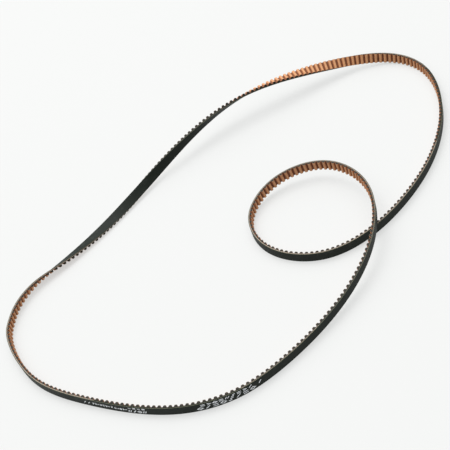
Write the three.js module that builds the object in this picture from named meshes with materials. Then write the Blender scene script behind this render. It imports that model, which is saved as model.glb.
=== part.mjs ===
// Endless timing belt with 2 mm pitch round teeth, lying loose on its cut edge.
// The belt makes one large loop and one small inner loop, passes over itself once
// where the two meet, and turns once about its own length along its raised stretch.
//
// It is moulded from four layers, and each is a solid of its own:
//   backing_rubber       smooth outer rubber
//   tension_cord_layer   glass fibre cords, wound side by side, taken as one thin band
//   tooth_rubber         the teeth, joined by a thin web under the cords
//   tooth_facing         nylon fabric that covers the teeth and the lands between them
//
// Units are millimetres and +Z is up. The origin is on the floor, at the middle of
// the belt's overall length and depth.
import * as THREE from 'three';

// ---- Belt section -------------------------------------------------------------
const toothCount = 330;
const toothPitch = 2.0;
const beltWidth = 4.0;
const bodyThickness = 0.6;        // from the land between two teeth to the back
const toothHeight = 0.76;
const toothRootWidth = 1.3;
const toothTipWidth = 0.74;
const facingThickness = 0.09;
const webThickness = 0.044;       // tooth rubber between the facing and the cords
const cordDiameter = 0.2;
const bondGap = 0.01;             // film of adhesive between two layers
const pitchLineOffset =           // from the land to the centre of the cords
  facingThickness + webThickness + cordDiameter / 2 + 2 * bondGap;

// ---- Loose shape --------------------------------------------------------------
// Points that guide the belt's middle line: x, y, rise and roll.
// The rise is the height of the lower edge when the belt stands upright, in belt
// widths, so that the belt clears itself at the crossing for any width.
// The roll, in degrees, turns the teeth from the left of the route up and over.
const routePoints = [
  // left bend and front stretch, standing on the floor
  [-92.7, -17.1, 0.02, 0],
  [-86.5, -41.5, 0, 0],
  [-69.5, -56.5, 0, 0],
  [-51.5, -69.7, 0, 0],
  [-34, -77.9, 0, 0],
  [-15, -79.4, 0, 0],
  [3, -73.1, 0, 0],
  // rising over the other strand
  [18.5, -65.4, 0.1, 0],
  [32, -57, 0.5, 0],
  [43.7, -46.6, 1.1, 0],
  [52, -33.5, 1.35, 0],
  [55.9, -19.1, 1.3, 0],
  // small loop, coming down to the floor
  [54, -5.8, 1.2, 0],
  [46.5, 5, 1.1, 0],
  [35, 9, 0.95, 0],
  [23.5, 8.2, 0.65, 0],
  [14, 3.1, 0.2, 0],
  [8, -6, 0, 0],
  [9, -20, 0, 0],
  [18, -31, 0, 0],
  [32, -37, 0, 0],
  // under the other strand, and round the right end
  [49, -34, 0, 0],
  [65.5, -25, 0, 0],
  [81, -12.5, 0, 0],
  [93.5, 4, 0, 0],
  [100.5, 21.5, 0, 0],
  [102.5, 38.5, 0, 0],
  [97, 52, 0, 0],
  // raised stretch at the back, with one whole turn about its length
  [84, 59.5, 0.3, 18],
  [62, 60.5, 1.25, 68],
  [40, 58.5, 2.2, 114],
  [19, 56.1, 2.1, 140],
  [-3, 48.2, 1.25, 176],
  [-25, 36, 0.15, 222],
  [-45.2, 22.1, -0.2, 262],
  [-64.4, 12, 0, 301],
  [-77.8, 7.3, 0.08, 329],
  [-86.7, -1.2, 0.08, 345],
  [-90.3, -9.5, 0.04, 355],
];
const fullTurn = 360;             // roll gained over one lap of the route
const stepsPerPoint = 100;        // fineness of the curve that is measured

const up = new THREE.Vector3(0, 0, 1);

// ---- Route --------------------------------------------------------------------
// A closed uniform cubic B-spline through the guide points. The plan is scaled until
// the middle line is as long as the teeth need.
function routeValue(t) {
  const count = routePoints.length;
  const first = Math.floor(t);
  const x = t - first;
  const weights = [
    (1 - x) ** 3 / 6,
    (3 * x ** 3 - 6 * x ** 2 + 4) / 6,
    (-3 * x ** 3 + 3 * x ** 2 + 3 * x + 1) / 6,
    x ** 3 / 6,
  ];
  const value = [0, 0, 0, 0];
  weights.forEach((weight, k) => {
    const index = first - 1 + k;
    const lap = Math.floor(index / count);
    const point = routePoints[index - lap * count];
    value[0] += weight * point[0];
    value[1] += weight * point[1];
    value[2] += weight * point[2];
    value[3] += weight * (point[3] + lap * fullTurn);
  });
  return value;
}

function routePosition(t, scale) {
  const [x, y, rise] = routeValue(t);
  return new THREE.Vector3(x * scale, y * scale, (rise + 0.5) * beltWidth);
}

// Running length of the route, at stepsPerPoint steps for each guide point.
function measureRoute(scale) {
  const steps = routePoints.length * stepsPerPoint;
  const lengths = [0];
  let previous = routePosition(0, scale);
  for (let i = 1; i <= steps; i += 1) {
    const next = routePosition(i / stepsPerPoint, scale);
    lengths.push(lengths[i - 1] + next.distanceTo(previous));
    previous = next;
  }
  return lengths;
}

function fitRoute() {
  const wanted = toothCount * toothPitch;
  let scale = 1;
  let lengths = measureRoute(scale);
  for (let round = 0; round < 12; round += 1) {
    scale *= wanted / lengths[lengths.length - 1];
    lengths = measureRoute(scale);
  }
  return { scale, lengths };
}

// One station for each tooth pitch: the middle of the belt on its pitch line, the
// direction of the teeth and the direction across the belt.
function makeStations() {
  const { scale, lengths } = fitRoute();
  const halfStep = 0.5 / stepsPerPoint;
  const stations = [];
  let step = 0;
  for (let i = 0; i < toothCount; i += 1) {
    const length = i * toothPitch;
    while (lengths[step + 1] < length) {
      step += 1;
    }
    const share = (length - lengths[step]) / (lengths[step + 1] - lengths[step]);
    const t = (step + share) / stepsPerPoint;
    const along = routePosition(t + halfStep, scale)
      .sub(routePosition(t - halfStep, scale))
      .normalize();
    const left = new THREE.Vector3().crossVectors(up, along).normalize();
    const above = new THREE.Vector3().crossVectors(along, left);
    const roll = THREE.MathUtils.degToRad(routeValue(t)[3]);
    const toTeeth = left.clone().multiplyScalar(Math.cos(roll))
      .addScaledVector(above, Math.sin(roll));
    const across = above.clone().multiplyScalar(Math.cos(roll))
      .addScaledVector(left, -Math.sin(roll));
    stations.push({ middle: routePosition(t, scale), toTeeth, across });
  }
  return stations;
}

const stations = makeStations();

// A point of the belt: along it, above its pitch line towards the teeth, and across it.
// Between two stations the belt runs straight.
function beltPoint(along, height, offset) {
  const turns = along / toothPitch;
  const index = Math.floor(turns);
  const ends = [index, index + 1].map((k) => {
    const station = stations[((k % toothCount) + toothCount) % toothCount];
    return station.middle.clone()
      .addScaledVector(station.toTeeth, height)
      .addScaledVector(station.across, offset);
  });
  return ends[0].lerp(ends[1], turns - index);
}

// ---- Outlines along the belt, as lists of [along, height] ------------------------
// How much half a tooth narrows at a depth measured square to its surface.
const flankRun = (toothRootWidth - toothTipWidth) / 2;
const flankLength = Math.hypot(flankRun, toothHeight);

function narrowingAt(depth) {
  return depth * (flankLength - flankRun) / toothHeight;
}

// The tooth outline, moved into the belt by a depth.
function toothRow(depth) {
  const halfRoot = toothRootWidth / 2 - narrowingAt(depth);
  const halfTip = toothTipWidth / 2 - narrowingAt(depth);
  const land = pitchLineOffset - depth;
  const tip = land + toothHeight;
  const row = [];
  for (let i = 0; i < toothCount; i += 1) {
    const centre = (i + 0.5) * toothPitch;
    row.push([centre - halfRoot, land]);
    row.push([centre - halfTip, tip]);
    row.push([centre + halfTip, tip]);
    row.push([centre + halfRoot, land]);
  }
  return row;
}

// A plain outline with one point at each station.
function plainRow(height) {
  const row = [];
  for (let i = 0; i < toothCount; i += 1) {
    row.push([i * toothPitch, height]);
  }
  return row;
}

// A plain outline with its points under the root corners of the rubber teeth. The thin
// web then folds where the lands do, and keeps its thickness where the belt twists.
function webRow(height) {
  const halfRoot = toothRootWidth / 2 - narrowingAt(facingThickness + bondGap);
  const row = [];
  for (let i = 0; i < toothCount; i += 1) {
    const centre = (i + 0.5) * toothPitch;
    row.push([centre - halfRoot, height]);
    row.push([centre + halfRoot, height]);
  }
  return row;
}

// ---- Closed ring between a tooth side outline and a back side outline --------------
function ringGeometry(toothSide, backSide) {
  const positions = [];
  const indices = [];
  const addRow = (row) => {
    const start = positions.length / 3;
    row.forEach(([along, height]) => {
      positions.push(...beltPoint(along, height, -beltWidth / 2).toArray());
      positions.push(...beltPoint(along, height, beltWidth / 2).toArray());
    });
    return (k, side) => start + 2 * (k % row.length) + side;
  };
  const tooth = addRow(toothSide);
  const back = addRow(backSide);

  for (let k = 0; k < toothSide.length; k += 1) {
    indices.push(tooth(k, 0), tooth(k, 1), tooth(k + 1, 1));
    indices.push(tooth(k, 0), tooth(k + 1, 1), tooth(k + 1, 0));
  }
  for (let k = 0; k < backSide.length; k += 1) {
    indices.push(back(k, 0), back(k + 1, 1), back(k, 1));
    indices.push(back(k, 0), back(k + 1, 0), back(k + 1, 1));
  }

  // Both cut edges, stepping along whichever outline has its next point nearer.
  const nextAlong = (row, k) => {
    const lap = Math.floor((k + 1) / row.length);
    return row[(k + 1) % row.length][0] + lap * toothCount * toothPitch;
  };
  let t = 0;
  let b = 0;
  while (t < toothSide.length || b < backSide.length) {
    const toothNext = t < toothSide.length ? nextAlong(toothSide, t) : Infinity;
    const backNext = b < backSide.length ? nextAlong(backSide, b) : Infinity;
    if (toothNext <= backNext) {
      indices.push(tooth(t, 0), tooth(t + 1, 0), back(b, 0));
      indices.push(tooth(t, 1), back(b, 1), tooth(t + 1, 1));
      t += 1;
    } else {
      indices.push(back(b, 0), tooth(t, 0), back(b + 1, 0));
      indices.push(back(b, 1), back(b + 1, 1), tooth(t, 1));
      b += 1;
    }
  }

  const geometry = new THREE.BufferGeometry();
  geometry.setAttribute('position', new THREE.Float32BufferAttribute(positions, 3));
  geometry.setIndex(indices);
  geometry.computeVertexNormals();
  return geometry;
}

// ---- Layers -------------------------------------------------------------------
const cordRadius = cordDiameter / 2;
const backHeight = pitchLineOffset - bodyThickness;

const backingRubber = new THREE.Mesh(
  ringGeometry(plainRow(-cordRadius - bondGap), plainRow(backHeight)),
  new THREE.MeshStandardMaterial({ color: 0x23262a, roughness: 0.62, metalness: 0 }),
);
backingRubber.name = 'backing_rubber';

const tensionCordLayer = new THREE.Mesh(
  ringGeometry(webRow(cordRadius), plainRow(-cordRadius)),
  new THREE.MeshStandardMaterial({ color: 0xc9a184, roughness: 0.5, metalness: 0 }),
);
tensionCordLayer.name = 'tension_cord_layer';

const toothRubber = new THREE.Mesh(
  ringGeometry(toothRow(facingThickness + bondGap), webRow(cordRadius + bondGap)),
  new THREE.MeshStandardMaterial({ color: 0x2b2624, roughness: 0.7, metalness: 0 }),
);
toothRubber.name = 'tooth_rubber';

const toothFacing = new THREE.Mesh(
  ringGeometry(toothRow(0), toothRow(facingThickness)),
  new THREE.MeshStandardMaterial({ color: 0xa9694a, roughness: 0.75, metalness: 0 }),
);
toothFacing.name = 'tooth_facing';

// ---- Assembly -----------------------------------------------------------------
const belt = new THREE.Group();
belt.add(backingRubber, tensionCordLayer, toothRubber, toothFacing);

const extent = new THREE.Box3().setFromObject(belt);
const centre = extent.getCenter(new THREE.Vector3());
belt.children.forEach((layer) => layer.position.set(-centre.x, -centre.y, 0));

export default belt;
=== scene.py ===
import math

import bpy
import numpy as np
from mathutils import Matrix, Vector


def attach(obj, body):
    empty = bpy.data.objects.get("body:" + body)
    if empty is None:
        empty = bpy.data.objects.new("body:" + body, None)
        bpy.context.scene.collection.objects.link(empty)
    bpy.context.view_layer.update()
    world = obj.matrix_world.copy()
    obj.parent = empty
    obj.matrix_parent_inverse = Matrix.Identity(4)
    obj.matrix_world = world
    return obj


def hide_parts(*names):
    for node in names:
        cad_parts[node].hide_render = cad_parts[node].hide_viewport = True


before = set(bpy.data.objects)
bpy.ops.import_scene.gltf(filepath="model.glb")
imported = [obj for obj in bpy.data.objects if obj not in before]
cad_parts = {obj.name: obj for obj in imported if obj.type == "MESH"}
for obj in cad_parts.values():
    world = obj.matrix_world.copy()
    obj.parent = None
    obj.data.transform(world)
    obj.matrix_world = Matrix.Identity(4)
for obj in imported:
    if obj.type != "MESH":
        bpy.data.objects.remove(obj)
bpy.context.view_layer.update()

# ---- Camera --------------------------------------------------------------------
# A long lens looks down on the belt from in front, and is held a little tilted.
# It aims at the middle of the guide route, which the belt's own frame moves by plan_shift.
plan_shift = Vector((-0.004956524, 0.008433569, 0.0))
camera_height_angle = math.radians(45.158)
camera_tilt = math.radians(21.508)
camera_distance = 0.4025
camera_focal_length = 82.51

camera_data = bpy.data.cameras.new("long_lens")
camera_data.lens = camera_focal_length
camera_data.sensor_width = 36.0
camera_data.clip_start = 0.01
camera_data.clip_end = 20.0
camera = bpy.data.objects.new("long_lens", camera_data)
bpy.context.scene.collection.objects.link(camera)
camera_back = Vector((0.0, -math.cos(camera_height_angle), math.sin(camera_height_angle)))
level_right = Vector((1.0, 0.0, 0.0))
level_up = camera_back.cross(level_right)
tilted_up = math.cos(camera_tilt) * level_up + math.sin(camera_tilt) * level_right
tilted_right = tilted_up.cross(camera_back)
camera_turn = Matrix((tilted_right, tilted_up, camera_back)).transposed()
camera_place = plan_shift + camera_back * camera_distance
camera.matrix_world = Matrix.Translation(camera_place) @ camera_turn.to_4x4()
bpy.context.scene.camera = camera

# ---- Floor and lights ------------------------------------------------------------
# A table of matt white board, lit a little from below, in a pale room that is brightest
# overhead and towards the back. A wide soft box adds a faint, soft-edged shadow.
board_size = 8.0
board_white = (0.225, 0.227, 0.225, 1.0)
board_glow = (0.99, 1.0, 0.99, 1.0)
board_glow_strength = 0.555
room_lean = (-0.08, 0.34, 0.93)
room_white = (1.0, 1.0, 1.0, 1.0)
room_horizon = 0.14
room_zenith = 3.1
room_narrowness = 3.0
room_backdrop = (0.93, 0.935, 0.93, 1.0)
soft_box_size = 0.6
soft_box_place = Vector((-0.1, 0.36, 0.95))
soft_box_power = 4.6

board_mesh = bpy.data.meshes.new("white_board")
half_board = board_size / 2
board_mesh.from_pydata(
    [
        (-half_board, -half_board, 0.0),
        (half_board, -half_board, 0.0),
        (half_board, half_board, 0.0),
        (-half_board, half_board, 0.0),
    ],
    [],
    [(0, 1, 2, 3)],
)
board = bpy.data.objects.new("white_board", board_mesh)
bpy.context.scene.collection.objects.link(board)
board_paint = bpy.data.materials.new("matt_white_board")
board_paint.use_nodes = True
board_shader = board_paint.node_tree.nodes["Principled BSDF"]
board_shader.inputs["Base Color"].default_value = board_white
board_shader.inputs["Roughness"].default_value = 0.9
board_shader.inputs["Specular IOR Level"].default_value = 0.1
board_shader.inputs["Emission Color"].default_value = board_glow
board_shader.inputs["Emission Strength"].default_value = board_glow_strength
board_mesh.materials.append(board_paint)


def add(tree, kind, values=None, **settings):
    """Adds a node, with its settings, and links or sets the inputs named in values."""
    made = tree.nodes.new(kind)
    for word, setting in settings.items():
        setattr(made, word, setting)
    for key, value in (values or {}).items():
        if isinstance(value, bpy.types.NodeSocket):
            tree.links.new(value, made.inputs[key])
        else:
            made.inputs[key].default_value = value
    return made


def sum_of(tree, operation, *values):
    """The result of one Math node, for shaders and for geometry."""
    made = add(tree, "ShaderNodeMath", dict(enumerate(values)), operation=operation)
    return made.outputs[0]


room = bpy.data.worlds.new("pale_room")
room.use_nodes = True
bpy.context.scene.world = room
sky = room.node_tree
sky_light = sky.nodes["Background"]
sky_way = add(sky, "ShaderNodeTexCoord").outputs["Generated"]
sky_lean = add(
    sky,
    "ShaderNodeVectorMath",
    {0: sky_way, 1: Vector(room_lean).normalized()},
    operation="DOT_PRODUCT",
)
sky_above = sum_of(sky, "MAXIMUM", sky_lean.outputs["Value"], 0.0)
sky_share = sum_of(sky, "POWER", sky_above, room_narrowness)
sky_level = sum_of(sky, "MULTIPLY_ADD", sky_share, room_zenith, room_horizon)
sky_light.inputs["Color"].default_value = room_white
sky.links.new(sky_level, sky_light.inputs["Strength"])
backdrop = add(sky, "ShaderNodeBackground", {"Color": room_backdrop, "Strength": 1.0})
seen = add(sky, "ShaderNodeLightPath").outputs["Is Camera Ray"]
room_view = add(
    sky, "ShaderNodeMixShader", {0: seen, 1: sky_light.outputs[0], 2: backdrop.outputs[0]}
)
sky.links.new(room_view.outputs[0], sky.nodes["World Output"].inputs["Surface"])

soft_box_data = bpy.data.lights.new("overhead_soft_box", "AREA")
soft_box_data.shape = "SQUARE"
soft_box_data.size = soft_box_size
soft_box_data.energy = soft_box_power
soft_box = bpy.data.objects.new("overhead_soft_box", soft_box_data)
bpy.context.scene.collection.objects.link(soft_box)
soft_box_aim = soft_box_place.to_track_quat("Z", "Y").to_matrix().to_4x4()
soft_box.matrix_world = Matrix.Translation(soft_box_place) @ soft_box_aim
bpy.context.scene.view_settings.view_transform = "Standard"
bpy.context.scene.view_settings.look = "None"

# ---- Tension cords ---------------------------------------------------------------
# Two treated glass fibre cords, twisted opposite ways and wound side by side, carry the
# pull. They lie on the pitch line, so the belt's loose shape is set out here as theirs.
tooth_count = 330
tooth_pitch = 0.002
belt_width = 0.004
belt_length = tooth_count * tooth_pitch
cord_diameter = 0.0002
cord_sides = 8
cord_step = 0.001
cord_advance = 0.00066
cord_overcut = 0.00001
per_metre = 1000.0  # millimetres in a metre, for the maps that materials read
cord_first_lanes = {"s_twist_cord": -0.00190, "z_twist_cord": -0.00223}

# Guide points of the belt's middle line, in metres: x, y, then the rise of the lower
# edge in belt widths, then the roll in degrees from teeth on the left up and over.
guide_points = [
    # left bend and front stretch, standing on the floor
    (-0.0927, -0.0171, 0.02, 0),
    (-0.0865, -0.0415, 0, 0),
    (-0.0695, -0.0565, 0, 0),
    (-0.0515, -0.0697, 0, 0),
    (-0.034, -0.0779, 0, 0),
    (-0.015, -0.0794, 0, 0),
    (0.003, -0.0731, 0, 0),
    # rising over the other strand
    (0.0185, -0.0654, 0.1, 0),
    (0.032, -0.057, 0.5, 0),
    (0.0437, -0.0466, 1.1, 0),
    (0.052, -0.0335, 1.35, 0),
    (0.0559, -0.0191, 1.3, 0),
    # small loop, coming down to the floor
    (0.054, -0.0058, 1.2, 0),
    (0.0465, 0.005, 1.1, 0),
    (0.035, 0.009, 0.95, 0),
    (0.0235, 0.0082, 0.65, 0),
    (0.014, 0.0031, 0.2, 0),
    (0.008, -0.006, 0, 0),
    (0.009, -0.02, 0, 0),
    (0.018, -0.031, 0, 0),
    (0.032, -0.037, 0, 0),
    # under the other strand, and round the right end
    (0.049, -0.034, 0, 0),
    (0.0655, -0.025, 0, 0),
    (0.081, -0.0125, 0, 0),
    (0.0935, 0.004, 0, 0),
    (0.1005, 0.0215, 0, 0),
    (0.1025, 0.0385, 0, 0),
    (0.097, 0.052, 0, 0),
    # raised stretch at the back, with one whole turn about its length, then down to the
    # floor, where it lies flat and turns back onto its edge
    (0.084, 0.0595, 0.3, 18),
    (0.062, 0.0605, 1.25, 68),
    (0.04, 0.0585, 2.2, 114),
    (0.019, 0.0561, 2.1, 140),
    (-0.003, 0.0482, 1.25, 176),
    (-0.025, 0.036, 0.15, 222),
    (-0.0452, 0.0221, -0.2, 262),
    (-0.0644, 0.012, 0, 301),
    (-0.0778, 0.0073, 0.08, 329),
    (-0.0867, -0.0012, 0.08, 345),
    (-0.0903, -0.0095, 0.04, 355),
]
full_turn = 360.0
fine_steps = 100
scale_passes = 12
route_points_per_pitch = 4


def route_values(t):
    """x, y, rise and roll on the closed cubic B-spline through the guide points."""
    guides = np.array(guide_points, float)
    first = np.floor(t).astype(int)
    x = t - first
    weights = (
        (1 - x) ** 3 / 6,
        (3 * x**3 - 6 * x**2 + 4) / 6,
        (-3 * x**3 + 3 * x**2 + 3 * x + 1) / 6,
        x**3 / 6,
    )
    values = np.zeros((len(t), 4))
    for k, weight in enumerate(weights):
        lap, index = np.divmod(first - 1 + k, len(guides))
        values += weight[:, None] * guides[index]
        values[:, 3] += weight * lap * full_turn
    return values


def route_places(t, scale):
    x, y, rise, _ = route_values(t).T
    return np.column_stack((x * scale, y * scale, (rise + 0.5) * belt_width))


def route_lengths(scale):
    fine = np.arange(len(guide_points) * fine_steps + 1) / fine_steps
    steps = np.linalg.norm(np.diff(route_places(fine, scale), axis=0), axis=1)
    return fine, np.concatenate(([0.0], np.cumsum(steps)))


def unit(vectors):
    return vectors / np.linalg.norm(vectors, axis=1)[:, None]


route_scale = 1.0
for _ in range(scale_passes):
    fine_t, fine_length = route_lengths(route_scale)
    route_scale *= belt_length / fine_length[-1]
fine_t, fine_length = route_lengths(route_scale)
route_count = tooth_count * route_points_per_pitch
route_t = np.interp(np.arange(route_count) * belt_length / route_count, fine_length, fine_t)
half_step = 0.5 / fine_steps
route_ahead = route_places(route_t + half_step, route_scale)
route_along = unit(route_ahead - route_places(route_t - half_step, route_scale))
route_left = unit(np.cross((0.0, 0.0, 1.0), route_along))
route_above = np.cross(route_along, route_left)
route_roll = np.radians(route_values(route_t)[:, 3])[:, None]
route_to_teeth = np.cos(route_roll) * route_left + np.sin(route_roll) * route_above
route_across = np.cos(route_roll) * route_above - np.sin(route_roll) * route_left

route_mesh = bpy.data.meshes.new("belt_route")
route_mesh.from_pydata(
    (route_places(route_t, route_scale) + np.array(plan_shift)).tolist(),
    [(i, (i + 1) % route_count) for i in range(route_count)],
    [],
)
for route_word, route_vectors in (("to_teeth", route_to_teeth), ("across", route_across)):
    stored = route_mesh.attributes.new(route_word, "FLOAT_VECTOR", "POINT")
    stored.data.foreach_set("vector", route_vectors.astype(np.float32).ravel())
route = bpy.data.objects.new("belt_route", route_mesh)
bpy.context.scene.collection.objects.link(route)


def vector_of(tree, x, y, z):
    return add(tree, "ShaderNodeCombineXYZ", {0: x, 1: y, 2: z}).outputs[0]


def parts_of(tree, vector):
    return add(tree, "ShaderNodeSeparateXYZ", {0: vector}).outputs


def new_tree(name, inputs, outputs, kind="GeometryNodeTree"):
    """A node group with named inputs and outputs, given as name to socket kind."""
    tree = bpy.data.node_groups.new(name, kind)
    for word, socket in inputs.items():
        tree.interface.new_socket(word, in_out="INPUT", socket_type="NodeSocket" + socket)
    for word, socket in outputs.items():
        tree.interface.new_socket(word, in_out="OUTPUT", socket_type="NodeSocket" + socket)
    start = tree.nodes.new("NodeGroupInput")
    end = tree.nodes.new("NodeGroupOutput")
    return tree, start.outputs, end.inputs


# The place on the belt at a length along it, a height towards the teeth and an offset
# across it. Every tree below lays its piece along the belt with this group.
place_tree, given, result = new_tree(
    "place_on_belt",
    {"Route": "Object", "Share of Lap": "Float", "Height": "Float", "Across": "Float"},
    {"Position": "Vector"},
)
route_in_tree = add(place_tree, "GeometryNodeObjectInfo", {"Object": given["Route"]})
route_line = add(place_tree, "GeometryNodeMeshToCurve", {"Mesh": route_in_tree.outputs["Geometry"]})
lap_share = sum_of(place_tree, "FLOORED_MODULO", given["Share of Lap"], 1.0)
sampled = []
for route_word in ("to_teeth", "across"):
    stored = add(
        place_tree,
        "GeometryNodeInputNamedAttribute",
        {"Name": route_word},
        data_type="FLOAT_VECTOR",
    )
    sampled.append(
        add(
            place_tree,
            "GeometryNodeSampleCurve",
            {"Curves": route_line.outputs[0], "Value": stored.outputs[0], "Factor": lap_share},
            data_type="FLOAT_VECTOR",
            mode="FACTOR",
        )
    )
raised = add(
    place_tree,
    "ShaderNodeVectorMath",
    {
        0: sampled[0].outputs["Value"],
        1: vector_of(place_tree, given["Height"], given["Height"], given["Height"]),
        2: sampled[0].outputs["Position"],
    },
    operation="MULTIPLY_ADD",
)
placed = add(
    place_tree,
    "ShaderNodeVectorMath",
    {
        0: sampled[1].outputs["Value"],
        1: vector_of(place_tree, given["Across"], given["Across"], given["Across"]),
        2: raised.outputs[0],
    },
    operation="MULTIPLY_ADD",
)
place_tree.links.new(placed.outputs[0], result["Position"])


def sweep_of(tree, steps, sides, closed):
    """A tube of steps by sides points, in that order. Its points get their places later."""
    if closed:
        spine = add(tree, "GeometryNodeCurvePrimitiveCircle", {"Resolution": steps})
        spine_end = spine.outputs["Curve"]
    else:
        line = add(tree, "GeometryNodeMeshLine", {"Count": steps, "Offset": (0.0, 0.0, 1.0)})
        spine_end = add(tree, "GeometryNodeMeshToCurve", {"Mesh": line.outputs[0]}).outputs[0]
    ring = add(tree, "GeometryNodeCurvePrimitiveCircle", {"Resolution": sides, "Radius": 0.1})
    swept = add(
        tree,
        "GeometryNodeCurveToMesh",
        {"Curve": spine_end, "Profile Curve": ring.outputs["Curve"], "Fill Caps": not closed},
    )
    index = add(tree, "GeometryNodeInputIndex").outputs[0]
    step = sum_of(tree, "FLOOR", sum_of(tree, "DIVIDE", sum_of(tree, "ADD", index, 0.5), sides))
    side = sum_of(tree, "SUBTRACT", index, sum_of(tree, "MULTIPLY", step, sides))
    return swept.outputs[0], step, side


def stored_as(tree, geometry, name, value, kind="FLOAT", domain="POINT"):
    made = add(
        tree,
        "GeometryNodeStoreNamedAttribute",
        {"Geometry": geometry, "Name": name, "Value": value},
        data_type=kind,
        domain=domain,
    )
    return made.outputs[0]


def with_run_map(tree, geometry, along, around):
    """Stores the map named belt_run, in millimetres along and around, whole at its seams."""
    # A corner that lies behind its face's middle by more than this share is past a seam.
    seam_share = 0.26
    geometry = stored_as(tree, geometry, "run", vector_of(tree, along, around, 0.0), "FLOAT_VECTOR")
    run = add(
        tree, "GeometryNodeInputNamedAttribute", {"Name": "run"}, data_type="FLOAT_VECTOR"
    ).outputs[0]
    face_run = add(
        tree, "GeometryNodeFieldOnDomain", {"Value": run}, domain="FACE", data_type="FLOAT_VECTOR"
    ).outputs[0]
    highest = add(
        tree,
        "GeometryNodeAttributeStatistic",
        {"Geometry": geometry, "Attribute": run},
        data_type="FLOAT_VECTOR",
    )
    whole = []
    for here, middle, top in zip(
        parts_of(tree, run), parts_of(tree, face_run), parts_of(tree, highest.outputs["Max"])
    ):
        apart = sum_of(tree, "SUBTRACT", middle, here)
        over = sum_of(tree, "GREATER_THAN", apart, sum_of(tree, "MULTIPLY", top, seam_share))
        whole.append(sum_of(tree, "MULTIPLY_ADD", over, top, here))
    whole_run = vector_of(tree, whole[0], whole[1], 0.0)
    geometry = stored_as(tree, geometry, "belt_run", whole_run, "FLOAT2", "CORNER")
    return add(
        tree, "GeometryNodeRemoveAttribute", {"Geometry": geometry, "Name": "run"}
    ).outputs[0]


def finish_tree(tree, geometry, material, result):
    real = add(tree, "GeometryNodeRealizeInstances", {"Geometry": geometry})
    painted = add(
        tree, "GeometryNodeSetMaterial", {"Geometry": real.outputs[0], "Material": material}
    )
    tree.links.new(painted.outputs[0], result["Geometry"])


def grown_piece(name, tree, **values):
    """Runs a tree with its named inputs set, and keeps the result as a plain mesh."""
    seed = bpy.data.objects.new(name, bpy.data.meshes.new(name + "_seed"))
    bpy.context.scene.collection.objects.link(seed)
    modifier = seed.modifiers.new("growth", "NODES")
    modifier.node_group = tree
    for socket in tree.interface.items_tree:
        if socket.in_out == "INPUT" and socket.name.replace(" ", "_").lower() in values:
            modifier[socket.identifier] = values[socket.name.replace(" ", "_").lower()]
    view_layer = bpy.context.view_layer
    view_layer.update()
    graph = bpy.context.evaluated_depsgraph_get()
    grown = bpy.data.meshes.new_from_object(seed.evaluated_get(graph), depsgraph=graph)
    grown.name = name
    seed.modifiers.remove(modifier)
    seed.data = grown
    return seed


cord_tree, given, result = new_tree(
    "wound_cord",
    {
        "Route": "Object",
        "Belt Length": "Float",
        "Belt Width": "Float",
        "Cord Diameter": "Float",
        "Advance per Lap": "Float",
        "First Lane": "Float",
        "Steps": "Int",
        "Step": "Float",
        "Sides": "Int",
        "Overcut": "Float",
        "Material": "Material",
    },
    {"Geometry": "Geometry"},
)
tube, step, side = sweep_of(cord_tree, given["Steps"], given["Sides"], closed=False)
along = sum_of(cord_tree, "MULTIPLY", step, given["Step"])
laps = sum_of(cord_tree, "DIVIDE", along, given["Belt Length"])
turn = sum_of(
    cord_tree, "MULTIPLY", sum_of(cord_tree, "DIVIDE", side, given["Sides"]), 2 * math.pi
)
radius = sum_of(cord_tree, "MULTIPLY", given["Cord Diameter"], 0.5)
height = sum_of(cord_tree, "MULTIPLY", sum_of(cord_tree, "SINE", turn), radius)
lane = sum_of(cord_tree, "MULTIPLY_ADD", laps, given["Advance per Lap"], given["First Lane"])
across = sum_of(cord_tree, "MULTIPLY_ADD", sum_of(cord_tree, "COSINE", turn), radius, lane)
edge = sum_of(cord_tree, "MULTIPLY_ADD", given["Belt Width"], 0.5, given["Overcut"])
across = sum_of(cord_tree, "MINIMUM", across, edge)
across = sum_of(cord_tree, "MAXIMUM", across, sum_of(cord_tree, "MULTIPLY", edge, -1.0))
place = add(
    cord_tree,
    "GeometryNodeGroup",
    node_tree=place_tree,
    values={"Route": given["Route"], "Share of Lap": laps, "Height": height, "Across": across},
)
tube = add(
    cord_tree, "GeometryNodeSetPosition", {"Geometry": tube, "Position": place.outputs[0]}
).outputs[0]
around = sum_of(cord_tree, "MULTIPLY", sum_of(cord_tree, "MULTIPLY", turn, radius), per_metre)
tube = with_run_map(cord_tree, tube, sum_of(cord_tree, "MULTIPLY", along, per_metre), around)
finish_tree(cord_tree, tube, given["Material"], result)


def run_coordinates(tree):
    """Millimetres along and around, from the piece's own belt_run map."""
    return add(tree, "ShaderNodeUVMap", uv_map="belt_run").outputs[0]


def scaled(tree, vector, x, y, z=1.0):
    return add(
        tree, "ShaderNodeMapping", {"Vector": vector, "Scale": (x, y, z)}, vector_type="POINT"
    ).outputs[0]


def noise_of(tree, vector, scale, detail=3.0, roughness=0.6):
    return add(
        tree,
        "ShaderNodeTexNoise",
        {"Vector": vector, "Scale": scale, "Detail": detail, "Roughness": roughness},
    ).outputs["Fac"]


def blend_of(tree, share, low, high):
    """A colour between low and high."""
    made = add(tree, "ShaderNodeMix", data_type="RGBA")
    for key, value in (("Factor_Float", share), ("A_Color", low), ("B_Color", high)):
        socket = next(s for s in made.inputs if s.identifier == key)
        if isinstance(value, bpy.types.NodeSocket):
            tree.links.new(value, socket)
        else:
            socket.default_value = value
    return next(s for s in made.outputs if s.identifier == "Result_Color")


def ranged(tree, value, low, high, to_low, to_high):
    return add(
        tree,
        "ShaderNodeMapRange",
        {"Value": value, "From Min": low, "From Max": high, "To Min": to_low, "To Max": to_high},
    ).outputs[0]


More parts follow.
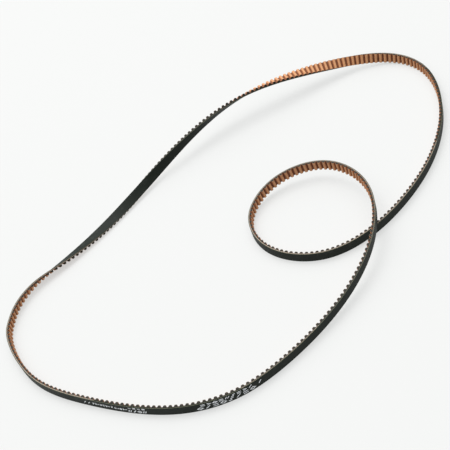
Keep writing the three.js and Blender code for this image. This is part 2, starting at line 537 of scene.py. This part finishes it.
def bumped(tree, shader, height, strength, relief):
    """Gives the shader a bump from a height map, with its full relief in metres."""
    values = {"Height": height, "Strength": strength, "Distance": relief}
    bump = add(tree, "ShaderNodeBump", values)
    tree.links.new(bump.outputs[0], shader.inputs["Normal"])


def new_material(name):
    made = bpy.data.materials.new(name)
    made.use_nodes = True
    return made, made.node_tree, made.node_tree.nodes["Principled BSDF"]


# Fibres laid in the cord's own twist: fine pale and tan streaks that wind round it.
middle_tones = (0.3, 0.7)  # where most of a noise's values lie
fibre_twist = 0.9
fibre_streaks = 14.0
fibre_dip = (0.25, 2.0)
fibre_streak_weight = 0.7
fibre_dip_weight = 0.4
fibre_tones = (0.35, 0.75)
fibre_roughness = (0.65, 0.45)
fibre_relief = 0.00002
fibre_pale = (0.4, 0.32, 0.25, 1.0)
fibre_tan = (0.24, 0.175, 0.13, 1.0)
cord_fibre, tree, shader = new_material("treated_glass_fibre")
run_parts = parts_of(tree, run_coordinates(tree))
twisted = sum_of(tree, "MULTIPLY_ADD", run_parts[0], fibre_twist, run_parts[1])
streaks = noise_of(tree, vector_of(tree, twisted, run_parts[0], 0.0), fibre_streaks, 4.0, 0.7)
dip = noise_of(tree, scaled(tree, run_coordinates(tree), *fibre_dip), 1.0)
dip_share = sum_of(tree, "MULTIPLY", dip, fibre_dip_weight)
fibre_share = sum_of(tree, "MULTIPLY_ADD", streaks, fibre_streak_weight, dip_share)
fibre_share = ranged(tree, fibre_share, *fibre_tones, 0.0, 1.0)
tree.links.new(blend_of(tree, fibre_share, fibre_tan, fibre_pale), shader.inputs["Base Color"])
fibre_rough = ranged(tree, streaks, *middle_tones, *fibre_roughness)
tree.links.new(fibre_rough, shader.inputs["Roughness"])
bumped(tree, shader, streaks, 0.5, fibre_relief)

for cord_name, first_lane in cord_first_lanes.items():
    cord_laps = (belt_width + cord_diameter - first_lane - belt_width / 2) / cord_advance
    cord = grown_piece(
        cord_name,
        cord_tree,
        route=route,
        belt_length=belt_length,
        belt_width=belt_width,
        cord_diameter=cord_diameter,
        advance_per_lap=cord_advance,
        first_lane=first_lane,
        steps=round(cord_laps * belt_length / cord_step),
        step=cord_step,
        sides=cord_sides,
        overcut=cord_overcut,
        material=cord_fibre,
    )
    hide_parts("tension_cord_layer")
    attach(cord, "root")

# ---- Moulded teeth ---------------------------------------------------------------
# Chloroprene rubber is pressed between the cords into the teeth, whose flanks are arcs
# about the far root corner. The rubber shows only at the cut edges, as tooth ends.
land_height = 0.000254
tooth_height = 0.00076
flank_radius = 0.0013
root_half_width = 0.00065
root_fillet = 0.0002
tip_rounding = 0.00042
fillet_steps = 4
flank_steps = 3
tip_steps = 4
facing_thickness = 0.00009
bond_film = 0.00001
cord_side_height = -0.0001
cut_face_share = 0.4999  # points further out than this share of the width are on a cut


def arc_points(centre, radius, start, end, steps, outward):
    """Points and outward directions on an arc, from its start angle to its end angle."""
    angles = np.linspace(start, end, steps + 1)
    ways = np.column_stack((np.cos(angles), np.sin(angles)))
    return np.array(centre) + radius * ways, outward * ways


def tooth_half():
    """One flank from the tooth's middle to the land: places from the tooth's foot, and normals."""
    far_corner = np.array((-root_half_width, 0.0))
    tip_reach = flank_radius - tip_rounding
    tip_centre_height = tooth_height - tip_rounding
    tip_centre = (
        far_corner[0] + math.sqrt(tip_reach**2 - tip_centre_height**2),
        tip_centre_height,
    )
    fillet_reach = flank_radius + root_fillet
    fillet_centre = (
        far_corner[0] + math.sqrt(fillet_reach**2 - root_fillet**2),
        root_fillet,
    )
    tip_angle = math.atan2(tip_centre_height, tip_centre[0] - far_corner[0])
    root_angle = math.atan2(root_fillet, fillet_centre[0] - far_corner[0])
    tip = arc_points(tip_centre, tip_rounding, math.pi / 2, tip_angle, tip_steps, 1)
    flank = arc_points(far_corner, flank_radius, tip_angle, root_angle, flank_steps, 1)
    fillet = arc_points(
        fillet_centre, root_fillet, root_angle + math.pi, 1.5 * math.pi, fillet_steps, -1
    )
    places = np.vstack((tip[0], flank[0][1:], fillet[0][1:]))
    normals = np.vstack((tip[1], flank[1][1:], fillet[1][1:]))
    return places, normals


def outline_object(name, places, normals):
    """One pitch of a layer's side view, with the normals and the running length."""
    mesh = bpy.data.meshes.new(name)
    mesh.from_pydata([(x, y, 0.0) for x, y in places], [], [])
    stored = mesh.attributes.new("outward", "FLOAT_VECTOR", "POINT")
    stored.data.foreach_set("vector", np.column_stack((normals, 0 * normals[:, 0])).ravel())
    loop = np.vstack((places, places[0] + (tooth_pitch, 0.0)))
    run = np.concatenate(([0.0], np.cumsum(np.linalg.norm(np.diff(loop, axis=0), axis=1))))
    stored = mesh.attributes.new("running", "FLOAT", "POINT")
    stored.data.foreach_set("value", run[:-1])
    made = bpy.data.objects.new(name, mesh)
    bpy.context.scene.collection.objects.link(made)
    return made, float(run[-1])


half_places, half_normals = tooth_half()
mirror = np.array((-1.0, 1.0))
tooth_middle = np.array((tooth_pitch / 2, land_height))
tooth_outline, tooth_run = outline_object(
    "tooth_outline",
    np.vstack((half_places[::-1] * mirror, half_places)) + tooth_middle,
    np.vstack((half_normals[::-1] * mirror, half_normals)),
)


def section_object(name, points):
    """A layer's section across the belt, from one corner of its hidden side round to the
    other: offset across, depth, and 1 where the depth is below the tooth surface, or 0
    where it is a plain height."""
    mesh = bpy.data.meshes.new(name)
    mesh.from_pydata(points, [], [])
    flat = np.array(points)[:, :2]
    loop = np.vstack((flat, flat[:1]))
    run = np.concatenate(([0.0], np.cumsum(np.linalg.norm(np.diff(loop, axis=0), axis=1))))
    stored = mesh.attributes.new("running", "FLOAT", "POINT")
    stored.data.foreach_set("value", run[:-1])
    made = bpy.data.objects.new(name, mesh)
    bpy.context.scene.collection.objects.link(made)
    return made


layer_tree, given, result = new_tree(
    "belt_layer",
    {
        "Route": "Object",
        "Outline": "Object",
        "Section": "Object",
        "Tooth Count": "Int",
        "Tooth Pitch": "Float",
        "Run per Pitch": "Float",
        "Belt Width": "Float",
        "Sharp Angle": "Float",
        "Material": "Material",
    },
    {"Geometry": "Geometry"},
)
outline = add(layer_tree, "GeometryNodeObjectInfo", {"Object": given["Outline"]})
section = add(layer_tree, "GeometryNodeObjectInfo", {"Object": given["Section"]})
counts = []
for shape in (outline, section):
    size = add(layer_tree, "GeometryNodeAttributeDomainSize", {0: shape.outputs["Geometry"]})
    counts.append(size.outputs["Point Count"])
steps = sum_of(layer_tree, "MULTIPLY", counts[0], given["Tooth Count"])
ring, step, side = sweep_of(layer_tree, steps, counts[1], closed=True)
tooth = sum_of(
    layer_tree,
    "FLOOR",
    sum_of(layer_tree, "DIVIDE", sum_of(layer_tree, "ADD", step, 0.5), counts[0]),
)
outline_index = sum_of(
    layer_tree, "SUBTRACT", step, sum_of(layer_tree, "MULTIPLY", tooth, counts[0])
)


def sampled_at(tree, shape, kind, value, index):
    return add(
        tree,
        "GeometryNodeSampleIndex",
        {"Geometry": shape.outputs["Geometry"], "Value": value, "Index": index},
        data_type=kind,
        domain="POINT",
    ).outputs[0]


own_place = add(layer_tree, "GeometryNodeInputPosition").outputs[0]
outward = add(
    layer_tree, "GeometryNodeInputNamedAttribute", {"Name": "outward"}, data_type="FLOAT_VECTOR"
).outputs[0]
running = add(
    layer_tree, "GeometryNodeInputNamedAttribute", {"Name": "running"}, data_type="FLOAT"
).outputs[0]
outline_place = parts_of(
    layer_tree, sampled_at(layer_tree, outline, "FLOAT_VECTOR", own_place, outline_index)
)
outline_way = parts_of(
    layer_tree, sampled_at(layer_tree, outline, "FLOAT_VECTOR", outward, outline_index)
)
outline_run = sampled_at(layer_tree, outline, "FLOAT", running, outline_index)
section_place = parts_of(
    layer_tree, sampled_at(layer_tree, section, "FLOAT_VECTOR", own_place, side)
)
section_run = sampled_at(layer_tree, section, "FLOAT", running, side)
across, depth, follows = section_place
sunk = sum_of(layer_tree, "MULTIPLY", depth, follows)
along = sum_of(
    layer_tree,
    "SUBTRACT",
    outline_place[0],
    sum_of(layer_tree, "MULTIPLY", sunk, outline_way[0]),
)
shaped_height = sum_of(
    layer_tree,
    "SUBTRACT",
    outline_place[1],
    sum_of(layer_tree, "MULTIPLY", sunk, outline_way[1]),
)
plain = sum_of(layer_tree, "SUBTRACT", 1.0, follows)
height = sum_of(
    layer_tree,
    "MULTIPLY_ADD",
    plain,
    depth,
    sum_of(layer_tree, "MULTIPLY", shaped_height, follows),
)
along = sum_of(layer_tree, "MULTIPLY_ADD", tooth, given["Tooth Pitch"], along)
lap = sum_of(layer_tree, "MULTIPLY", given["Tooth Pitch"], given["Tooth Count"])
place = add(
    layer_tree,
    "GeometryNodeGroup",
    node_tree=place_tree,
    values={
        "Route": given["Route"],
        "Share of Lap": sum_of(layer_tree, "DIVIDE", along, lap),
        "Height": height,
        "Across": across,
    },
)
ring = add(
    layer_tree, "GeometryNodeSetPosition", {"Geometry": ring, "Position": place.outputs[0]}
).outputs[0]
ring = stored_as(layer_tree, ring, "height", sum_of(layer_tree, "MULTIPLY", height, per_metre))
outer = sum_of(layer_tree, "MULTIPLY", given["Belt Width"], cut_face_share)
cut_face = sum_of(layer_tree, "GREATER_THAN", sum_of(layer_tree, "ABSOLUTE", across), outer)
ring = stored_as(layer_tree, ring, "cut_edge", cut_face)
run_along = sum_of(layer_tree, "MULTIPLY_ADD", tooth, given["Run per Pitch"], outline_run)
ring = with_run_map(
    layer_tree,
    ring,
    sum_of(layer_tree, "MULTIPLY", run_along, per_metre),
    sum_of(layer_tree, "MULTIPLY", section_run, per_metre),
)
fold = add(layer_tree, "GeometryNodeInputMeshEdgeAngle").outputs["Unsigned Angle"]
sharp = sum_of(layer_tree, "GREATER_THAN", fold, given["Sharp Angle"])
ring = stored_as(layer_tree, ring, "sharp_edge", sharp, "BOOLEAN", "EDGE")
finish_tree(layer_tree, ring, given["Material"], result)

# Cut rubber: knife streaks run along the belt, with a little chalky dust in them.
dust_patches = 0.35
dust_patch_weight = 0.5
dust_speck_weight = 0.6
dust_tones = (0.62, 0.9)
dust_tree, given, result = new_tree(
    "rubber_dust",
    {"Vector": "Vector", "Grain": "Float", "Cover": "Float"},
    {"Dust": "Float", "Grain": "Float"},
    "ShaderNodeTree",
)
patches = noise_of(dust_tree, given["Vector"], dust_patches, 2.0)
specks = noise_of(dust_tree, given["Vector"], given["Grain"], 4.0, 0.75)
specks_share = sum_of(dust_tree, "MULTIPLY", specks, dust_speck_weight)
cover = sum_of(dust_tree, "MULTIPLY_ADD", patches, dust_patch_weight, specks_share)
cover = sum_of(dust_tree, "ADD", cover, given["Cover"])
dust_tree.links.new(ranged(dust_tree, cover, *dust_tones, 0.0, 1.0), result["Dust"])
dust_tree.links.new(specks, result["Grain"])


def dust_on(tree, vector, grain, cover):
    return add(
        tree,
        "ShaderNodeGroup",
        node_tree=dust_tree,
        values={"Vector": vector, "Grain": grain, "Cover": cover},
    ).outputs


tooth_black = (0.0125, 0.0118, 0.0095, 1.0)
tooth_grey = (0.027, 0.0255, 0.0195, 1.0)
tooth_dust = (0.11, 0.1, 0.08, 1.0)
tooth_dust_grain = 9.0
tooth_dust_cover = 0.6
knife_streaks = (1.5, 16.0)
knife_roughness = (0.5, 0.68)
knife_bump = 0.6
knife_relief = 0.00002
tooth_rubber, tree, shader = new_material("moulded_tooth_rubber")
object_place = add(tree, "ShaderNodeTexCoord").outputs["Object"]
millimetres = scaled(tree, object_place, per_metre, per_metre, per_metre)
tooth_specks = dust_on(tree, millimetres, tooth_dust_grain, 0.0)
knife = noise_of(tree, scaled(tree, run_coordinates(tree), *knife_streaks), 1.0, 3.0)
knife_share = ranged(tree, knife, *middle_tones, 0.0, 1.0)
tooth_colour = blend_of(tree, knife_share, tooth_black, tooth_grey)
tooth_cover = sum_of(tree, "MULTIPLY", tooth_specks["Dust"], tooth_dust_cover)
tooth_colour = blend_of(tree, tooth_cover, tooth_colour, tooth_dust)
tree.links.new(tooth_colour, shader.inputs["Base Color"])
knife_rough = ranged(tree, knife, *middle_tones, *knife_roughness)
tree.links.new(knife_rough, shader.inputs["Roughness"])
shader.inputs["Specular IOR Level"].default_value = 0.18
cut_height = sum_of(tree, "MULTIPLY_ADD", tooth_specks["Grain"], 0.5, knife)
bumped(tree, shader, cut_height, knife_bump, knife_relief)

half_width = belt_width / 2
rubber_depth = facing_thickness + bond_film
tooth_section = section_object(
    "tooth_rubber_section",
    [
        (-half_width, cord_side_height, 0.0),
        (-half_width, rubber_depth, 1.0),
        (half_width, rubber_depth, 1.0),
        (half_width, cord_side_height, 0.0),
    ],
)
sharp_angle = math.radians(35.0)
moulded_teeth = grown_piece(
    "moulded_teeth",
    layer_tree,
    route=route,
    outline=tooth_outline,
    section=tooth_section,
    tooth_count=tooth_count,
    tooth_pitch=tooth_pitch,
    run_per_pitch=tooth_run,
    belt_width=belt_width,
    sharp_angle=sharp_angle,
    material=tooth_rubber,
)
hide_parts("tooth_rubber")
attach(moulded_teeth, "root")

# ---- Tooth fabric ----------------------------------------------------------------
# A stretchy nylon fabric in rust brown is moulded over the teeth and the lands between
# them. It is worn pale on the tips, where a painted highlight is added too, and painted
# shade darkens the roots. Its cut edge is a thin dull line.
fabric_bright = (0.6, 0.26, 0.108, 1.0)
fabric_rust = (0.41, 0.158, 0.066, 1.0)
# The tip colour is partly the fabric worn pale and partly a painted highlight.
fabric_tip_wear_and_highlight = (0.6, 0.34, 0.175, 1.0)
# The root colour is painted shade for the deep roots between the teeth.
fabric_root_shade = (0.15, 0.052, 0.024, 1.0)
fabric_edge = (0.17, 0.125, 0.08, 1.0)
yarns_per_millimetre = 7.0
weft_count_share = 0.8
fabric_fuzz = (9.0, 14.0)
fabric_blotches = (0.22, 0.35)
fabric_tones = (0.3, 0.85)
weave_weight = 0.2
fuzz_weight = 0.5
blotch_weight = 0.6
root_shade_reach = (0.0, 0.7)
root_shade_strength = 0.9
tip_reach_share = (0.72, 1.0)
tip_wear_and_highlight_strength = 0.6
rubbed_reach_share = (0.7, 1.0)
rubbed_roughness = (0.78, 0.6)
fuzz_height_share = 0.8
weave_bump = 0.7
weave_relief = 0.000012
fabric_chamfer = 0.000018
land_millimetres = land_height * per_metre
tooth_millimetres = tooth_height * per_metre

tooth_fabric, tree, shader = new_material("rust_nylon_fabric")
run_parts = parts_of(tree, run_coordinates(tree))
yarn_turn = 2 * math.pi * yarns_per_millimetre
warp = sum_of(tree, "SINE", sum_of(tree, "MULTIPLY", run_parts[0], yarn_turn))
weft_turn = yarn_turn * weft_count_share
weft = sum_of(tree, "SINE", sum_of(tree, "MULTIPLY", run_parts[1], weft_turn))
weave = sum_of(tree, "MULTIPLY", warp, weft)
fuzz = noise_of(tree, scaled(tree, run_coordinates(tree), *fabric_fuzz), 1.0, 4.0, 0.7)
blotch = noise_of(tree, scaled(tree, run_coordinates(tree), *fabric_blotches), 1.0, 3.0)
above_pitch_line = add(tree, "ShaderNodeAttribute", attribute_name="height").outputs["Fac"]
cut_share = add(tree, "ShaderNodeAttribute", attribute_name="cut_edge").outputs["Fac"]
rise_share = ranged(
    tree, above_pitch_line, land_millimetres, land_millimetres + tooth_millimetres, 0.0, 1.0
)
fuzz_share = sum_of(tree, "MULTIPLY", fuzz, fuzz_weight)
light_share = sum_of(tree, "MULTIPLY_ADD", weave, weave_weight, fuzz_share)
light_share = sum_of(tree, "MULTIPLY_ADD", blotch, blotch_weight, light_share)
light_share = ranged(tree, light_share, *fabric_tones, 0.0, 1.0)
fabric_colour = blend_of(tree, light_share, fabric_rust, fabric_bright)
# Painted shade in the roots: strongest on the land, gone by 0.7 of the tooth's rise.
root_shade_share = ranged(tree, rise_share, *root_shade_reach, root_shade_strength, 0.0)
# Paler tips: partly wear, partly a painted highlight.
tip_wear_and_highlight_share = ranged(tree, rise_share, *tip_reach_share, 0.0, tip_wear_and_highlight_strength)
fabric_colour = blend_of(tree, tip_wear_and_highlight_share, fabric_colour, fabric_tip_wear_and_highlight)
fabric_colour = blend_of(tree, root_shade_share, fabric_colour, fabric_root_shade)
fabric_colour = blend_of(tree, cut_share, fabric_colour, fabric_edge)
tree.links.new(fabric_colour, shader.inputs["Base Color"])
fabric_rough = ranged(tree, rise_share, *rubbed_reach_share, *rubbed_roughness)
tree.links.new(fabric_rough, shader.inputs["Roughness"])
shader.inputs["Specular IOR Level"].default_value = 0.2
shader.inputs["Sheen Weight"].default_value = 0.05
shader.inputs["Sheen Roughness"].default_value = 0.5
weave_height = sum_of(tree, "MULTIPLY_ADD", fuzz, fuzz_height_share, weave)
bumped(tree, shader, weave_height, weave_bump, weave_relief)

chamfered = half_width - fabric_chamfer
fabric_section = section_object(
    "tooth_fabric_section",
    [
        (-chamfered, facing_thickness, 1.0),
        (-half_width, facing_thickness - fabric_chamfer, 1.0),
        (-half_width, fabric_chamfer, 1.0),
        (-chamfered, 0.0, 1.0),
        (chamfered, 0.0, 1.0),
        (half_width, fabric_chamfer, 1.0),
        (half_width, facing_thickness - fabric_chamfer, 1.0),
        (chamfered, facing_thickness, 1.0),
    ],
)
facing = grown_piece(
    "tooth_fabric",
    layer_tree,
    route=route,
    outline=tooth_outline,
    section=fabric_section,
    tooth_count=tooth_count,
    tooth_pitch=tooth_pitch,
    run_per_pitch=tooth_run,
    belt_width=belt_width,
    sharp_angle=sharp_angle,
    material=tooth_fabric,
)
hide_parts("tooth_facing")
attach(facing, "root")

# ---- Ground back -----------------------------------------------------------------
# The smooth outer rubber is cured on the cords, then ground to thickness. Grinding
# leaves fine marks along the belt. Its cut edges are a paler olive grey, partly the cut
# rubber's own tone and partly a painted highlight.
back_height = -0.000346
back_inner_height = -0.00011
back_corner = 0.00007
back_corner_steps = 3
back_shoulder = 0.00006
back_points_per_pitch = 4
back_black = (0.0088, 0.0118, 0.0092, 1.0)
back_slate = (0.02, 0.0255, 0.0205, 1.0)
# The cut edge colour is partly the cut rubber's own paler tone and partly a painted highlight.
back_cut_and_highlight = (0.1, 0.104, 0.07, 1.0)
back_dust = (0.17, 0.18, 0.17, 1.0)
back_dust_grain = 7.0
back_dust_cover = 0.35
grinding_marks = (0.6, 15.0)
back_patches = (0.08, 0.4)
back_grinding_weight = 0.6
back_patch_weight = 0.6
back_tones = (0.35, 0.85)
grinding_roughness = (0.46, 0.62)
grain_height_share = 0.6
grinding_relief = 0.000015
back_sharp_angle = math.radians(50.0)

ground_rubber, tree, shader = new_material("ground_back_rubber")
object_place = add(tree, "ShaderNodeTexCoord").outputs["Object"]
millimetres = scaled(tree, object_place, per_metre, per_metre, per_metre)
back_specks = dust_on(tree, millimetres, back_dust_grain, 0.0)
grinding_map = scaled(tree, run_coordinates(tree), *grinding_marks)
grinding = noise_of(tree, grinding_map, 1.0, 4.0, 0.65)
patches = noise_of(tree, scaled(tree, run_coordinates(tree), *back_patches), 1.0, 2.0)
patch_share = sum_of(tree, "MULTIPLY", patches, back_patch_weight)
back_share = sum_of(tree, "MULTIPLY_ADD", grinding, back_grinding_weight, patch_share)
back_share = ranged(tree, back_share, *back_tones, 0.0, 1.0)
back_colour = blend_of(tree, back_share, back_black, back_slate)
# Cut edges take the paler colour: partly their own tone, partly a painted highlight.
cut_share = add(tree, "ShaderNodeAttribute", attribute_name="cut_edge").outputs["Fac"]
back_colour = blend_of(tree, cut_share, back_colour, back_cut_and_highlight)
back_cover = sum_of(tree, "MULTIPLY", back_specks["Dust"], back_dust_cover)
back_colour = blend_of(tree, back_cover, back_colour, back_dust)
tree.links.new(back_colour, shader.inputs["Base Color"])
back_rough = ranged(tree, grinding, *middle_tones, *grinding_roughness)
tree.links.new(back_rough, shader.inputs["Roughness"])
shader.inputs["Specular IOR Level"].default_value = 0.1
ground_height = sum_of(
    tree, "MULTIPLY_ADD", back_specks["Grain"], grain_height_share, grinding
)
bumped(tree, shader, ground_height, 0.5, grinding_relief)

plain_places = np.column_stack(
    (
        np.arange(back_points_per_pitch) * tooth_pitch / back_points_per_pitch,
        np.full(back_points_per_pitch, land_height),
    )
)
plain_outline, plain_run = outline_object(
    "plain_outline", plain_places, np.tile((0.0, 1.0), (back_points_per_pitch, 1))
)
corner_angles = np.linspace(0.0, math.pi / 2, back_corner_steps + 1)
back_half = [
    (half_width, back_inner_height, 0.0),
    (half_width, back_height + back_corner + back_shoulder, 0.0),
]
for angle in corner_angles:
    back_half.append(
        (
            half_width - back_corner * (1 - math.cos(angle)),
            back_height + back_corner * (1 - math.sin(angle)),
            0.0,
        )
    )
back_half.append((half_width - back_corner - back_shoulder, back_height, 0.0))
back_section = section_object(
    "ground_back_section",
    back_half + [(-across, height, 0.0) for across, height, _ in reversed(back_half)],
)
ground_back = grown_piece(
    "ground_back",
    layer_tree,
    route=route,
    outline=plain_outline,
    section=back_section,
    tooth_count=tooth_count,
    tooth_pitch=tooth_pitch,
    run_per_pitch=plain_run,
    belt_width=belt_width,
    sharp_angle=back_sharp_angle,
    material=ground_rubber,
)
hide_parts("backing_rubber")
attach(ground_back, "root")

# ---- Print marks -----------------------------------------------------------------
# Pale ink, stamped on the smooth back after grinding: plain strokes, bars, dots, steps,
# arrows and diamonds, some microns thick and a little worn. They stand in two groups.
ink_lift = 0.000002
ink_thickness = 0.00001
ink_stroke = 0.00034
mitre_limit = 0.5
mark_strokes = {
    "slash": [[(0.1, 0.0), (0.9, 1.0)]],
    "pair": [[(0.0, 0.0), (0.45, 1.0)], [(0.55, 0.0), (1.0, 1.0)]],
    "dash": [[(0.0, 0.5), (1.0, 0.5)]],
    "dot": [[(0.3, 0.2), (0.6, 0.2)]],
    "diamond": [[(0.5, 0.0), (1.0, 0.5), (0.5, 1.0), (0.0, 0.5), (0.5, 0.0)]],
    "arrow": [[(0.1, 0.0), (0.9, 0.5), (0.1, 1.0)]],
    "step": [[(0.0, 0.1), (0.5, 0.1), (0.5, 0.9), (1.0, 0.9)]],
    "bars": [[(0.0, 0.85), (1.0, 0.85)], [(0.0, 0.15), (1.0, 0.15)]],
}
# Each row: its start along the belt, the step from mark to mark, a mark's width and
# height, the height of the marks' middle on the back, all in millimetres, and its marks.
mark_rows = [
    (45.2, 1.7, 1.1, 1.0, 0.1, "slash slash"),
    (48.8, 1.08, 0.8, 0.85, 0.2, "step bars dash pair bars arrow dash step"),
    (57.7, 1.02, 0.75, 0.75, -0.15, "bars slash diamond arrow dash dot"),
    (63.2, 1.75, 1.1, 0.55, 1.1, "dash bars dash bars"),
    (62.9, 1.85, 1.35, 1.25, -0.65, "pair slash diamond pair"),
    (89.3, 2.15, 1.5, 0.95, 0.85, "bars arrow diamond bars pair step bars arrow slash"),
    (87.9, 2.72, 1.95, 1.25, -0.75, "diamond slash bars diamond step slash bars diamond"),
    (110.3, 2.1, 1.3, 1.1, 0.3, "slash"),
]


def stroke_solid(points, width):
    """Corners and faces of a thin bar of even width along a line of points."""
    line = np.array(points, float)
    ring = bool(np.allclose(line[0], line[-1]))
    if ring:
        line = line[:-1]
        before = line - np.roll(line, 1, axis=0)
        after = np.roll(line, -1, axis=0) - line
    else:
        steps_along = np.diff(line, axis=0)
        before = np.vstack((steps_along[:1], steps_along))
        after = np.vstack((steps_along, steps_along[-1:]))
    before = unit(before)
    after = unit(after)
    left_before = np.column_stack((-before[:, 1], before[:, 0]))
    left_after = np.column_stack((-after[:, 1], after[:, 0]))
    mitre = unit(left_before + left_after)
    reach = width / 2 / np.maximum(np.sum(mitre * left_after, axis=1), mitre_limit)
    side_left = line + mitre * reach[:, None]
    side_right = line - mitre * reach[:, None]
    count = len(line)
    corners = []
    for level in (0.0, 1.0):
        for side_points in (side_left, side_right):
            corners += [(x, y, level) for x, y in side_points]
    left_low, right_low, left_high, right_high = (k * count for k in range(4))
    faces = []
    for i in range(count if ring else count - 1):
        j = (i + 1) % count
        faces.append((right_high + i, right_high + j, left_high + j, left_high + i))
        faces.append((left_low + i, left_low + j, right_low + j, right_low + i))
        faces.append((left_low + i, left_high + i, left_high + j, left_low + j))
        faces.append((right_low + i, right_low + j, right_high + j, right_high + i))
    if not ring:
        last = count - 1
        faces.append((right_low, right_high, left_high, left_low))
        faces.append((left_low + last, left_high + last, right_high + last, right_low + last))
    return corners, faces


drawn_corners = []
drawn_faces = []
for start, mark_step, wide, tall, middle, kinds in mark_rows:
    for place_in_row, kind in enumerate(kinds.split()):
        for stroke in mark_strokes[kind]:
            mark_left = start + place_in_row * mark_step
            mark_foot = middle - tall / 2
            drawn = [
                ((mark_left + wide * u) / per_metre, (mark_foot + tall * v) / per_metre)
                for u, v in stroke
            ]
            corners, faces = stroke_solid(drawn, ink_stroke)
            first = len(drawn_corners)
            drawn_corners += corners
            drawn_faces += [tuple(first + k for k in face) for face in faces]
drawing_mesh = bpy.data.meshes.new("mark_drawing")
drawing_mesh.from_pydata(drawn_corners, [], drawn_faces)
drawing = bpy.data.objects.new("mark_drawing", drawing_mesh)
bpy.context.scene.collection.objects.link(drawing)

marks_tree, given, result = new_tree(
    "stamped_marks",
    {
        "Route": "Object",
        "Drawing": "Object",
        "Belt Length": "Float",
        "Back Height": "Float",
        "Ink Lift": "Float",
        "Ink Thickness": "Float",
        "Material": "Material",
    },
    {"Geometry": "Geometry"},
)
marks = add(marks_tree, "GeometryNodeObjectInfo", {"Object": given["Drawing"]}).outputs["Geometry"]
drawn_place = parts_of(marks_tree, add(marks_tree, "GeometryNodeInputPosition").outputs[0])
marks = stored_as(
    marks_tree,
    marks,
    "belt_run",
    vector_of(
        marks_tree,
        sum_of(marks_tree, "MULTIPLY", drawn_place[0], per_metre),
        sum_of(marks_tree, "MULTIPLY", drawn_place[1], per_metre),
        0.0,
    ),
    "FLOAT2",
    "CORNER",
)
ink_height = sum_of(
    marks_tree,
    "SUBTRACT",
    given["Back Height"],
    sum_of(marks_tree, "MULTIPLY_ADD", drawn_place[2], given["Ink Thickness"], given["Ink Lift"]),
)
place = add(
    marks_tree,
    "GeometryNodeGroup",
    node_tree=place_tree,
    values={
        "Route": given["Route"],
        "Share of Lap": sum_of(marks_tree, "DIVIDE", drawn_place[0], given["Belt Length"]),
        "Height": ink_height,
        "Across": drawn_place[1],
    },
)
marks = add(
    marks_tree, "GeometryNodeSetPosition", {"Geometry": marks, "Position": place.outputs[0]}
).outputs[0]
finish_tree(marks_tree, marks, given["Material"], result)

# Ink that took unevenly on the ground rubber: pale, with thin grey places and pinholes.
ink_pale = (0.86, 0.89, 0.92, 1.0)
ink_thin = (0.42, 0.45, 0.48, 1.0)
ink_patches = (1.3, 1.6)
ink_pinholes = (9.0, 11.0)
ink_patch_weight = 0.6
ink_pinhole_weight = 0.5
ink_tones = (0.33, 0.52)
ink_roughness = (0.7, 0.5)
ink_relief = 0.000008
stamp_ink, tree, shader = new_material("pale_stamp_ink")
ink_take = noise_of(tree, scaled(tree, run_coordinates(tree), *ink_patches), 1.0, 3.0)
ink_holes = noise_of(tree, scaled(tree, run_coordinates(tree), *ink_pinholes), 1.0, 3.0, 0.7)
holes_share = sum_of(tree, "MULTIPLY", ink_holes, ink_pinhole_weight)
ink_share = sum_of(tree, "MULTIPLY_ADD", ink_take, ink_patch_weight, holes_share)
ink_share = ranged(tree, ink_share, *ink_tones, 0.0, 1.0)
tree.links.new(blend_of(tree, ink_share, ink_thin, ink_pale), shader.inputs["Base Color"])
ink_rough = ranged(tree, ink_holes, *middle_tones, *ink_roughness)
tree.links.new(ink_rough, shader.inputs["Roughness"])
shader.inputs["Specular IOR Level"].default_value = 0.3
bumped(tree, shader, ink_holes, 0.5, ink_relief)

print_marks = grown_piece(
    "print_marks",
    marks_tree,
    route=route,
    drawing=drawing,
    belt_length=belt_length,
    back_height=back_height,
    ink_lift=ink_lift,
    ink_thickness=ink_thickness,
    material=stamp_ink,
)
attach(print_marks, "root")

# ---- Finish ----------------------------------------------------------------------
# The set-out shapes have done their work.
outlines = (tooth_outline, plain_outline, tooth_section, fabric_section, back_section)
for helper in (route, drawing) + outlines:
    bpy.data.objects.remove(helper)
